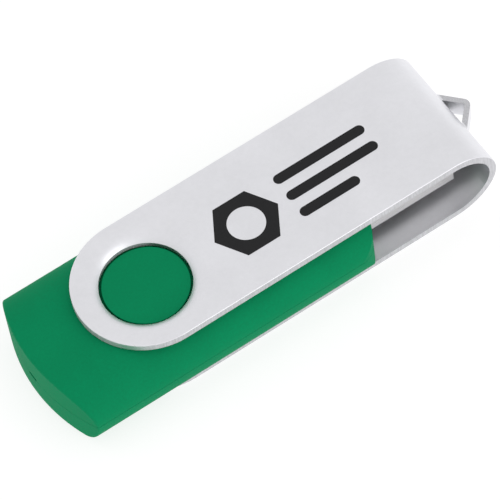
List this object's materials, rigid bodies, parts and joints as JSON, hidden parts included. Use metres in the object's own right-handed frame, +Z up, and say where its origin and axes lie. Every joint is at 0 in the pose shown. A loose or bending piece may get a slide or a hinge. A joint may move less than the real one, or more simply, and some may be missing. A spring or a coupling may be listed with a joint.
{
  "type": "swivel usb flash drive",
  "caption": "USB flash drive with a green plastic housing and a blasted aluminium cover that swivels about a round boss, with a key loop pressed out of the cover's bend.",
  "frame": {"origin": "bottom centre of the whole drive with the cover closed over the plug, on the surface it lies on", "axes": "+X towards the plug, the cover's bend and the key loop; +Y across the drive; +Z up, out of the cover's upper plate"},
  "size_m": [0.0612, 0.0206, 0.0104],
  "materials": {
    "cover_aluminium": "fine blasted, clear anodised",
    "print_ink": "screen printed",
    "housing_green": "fine spark-eroded texture",
    "plug_steel": "nickel plated",
    "insulator_black": "moulded",
    "contact_gold": "gold plated",
    "board_laminate": "solder mask",
    "chip_resin": "moulded resin",
    "tinned_leads": "tinned",
    "part_ceramic": "fired",
    "led_resin": "clear resin"
  },
  "bodies": {
    "housing": {"housing_top_shell": "housing_green", "housing_bottom_shell": "housing_green", "plug_shell": "plug_steel", "plug_insulator": "insulator_black", "contact_vbus": "contact_gold", "contact_data_minus": "contact_gold", "contact_data_plus": "contact_gold", "contact_ground": "contact_gold", "circuit_board": "board_laminate", "flash_chip": "chip_resin", "flash_leads": "tinned_leads", "controller_chip": "chip_resin", "controller_leads": "tinned_leads", "crystal_base": "part_ceramic", "crystal_lid": "tinned_leads", "regulator_body": "chip_resin", "regulator_leads": "tinned_leads", "led_base": "part_ceramic", "led_lens": "led_resin", "resistors": "chip_resin", "capacitors": "part_ceramic", "tab_solder": "tinned_leads", "contact_solder": "tinned_leads", "test_pads": "contact_gold"},
    "cover": {"swivel_cover": "cover_aluminium", "cover_imprint": "print_ink"}
  },
  "joints": [
    {"name": "cover_swivel", "type": "hinge", "parent": "housing", "child": "cover", "pos_m": [-0.01455, 0, 0.0052], "axis": [0, 0, 1], "continuous": true}
  ]
}
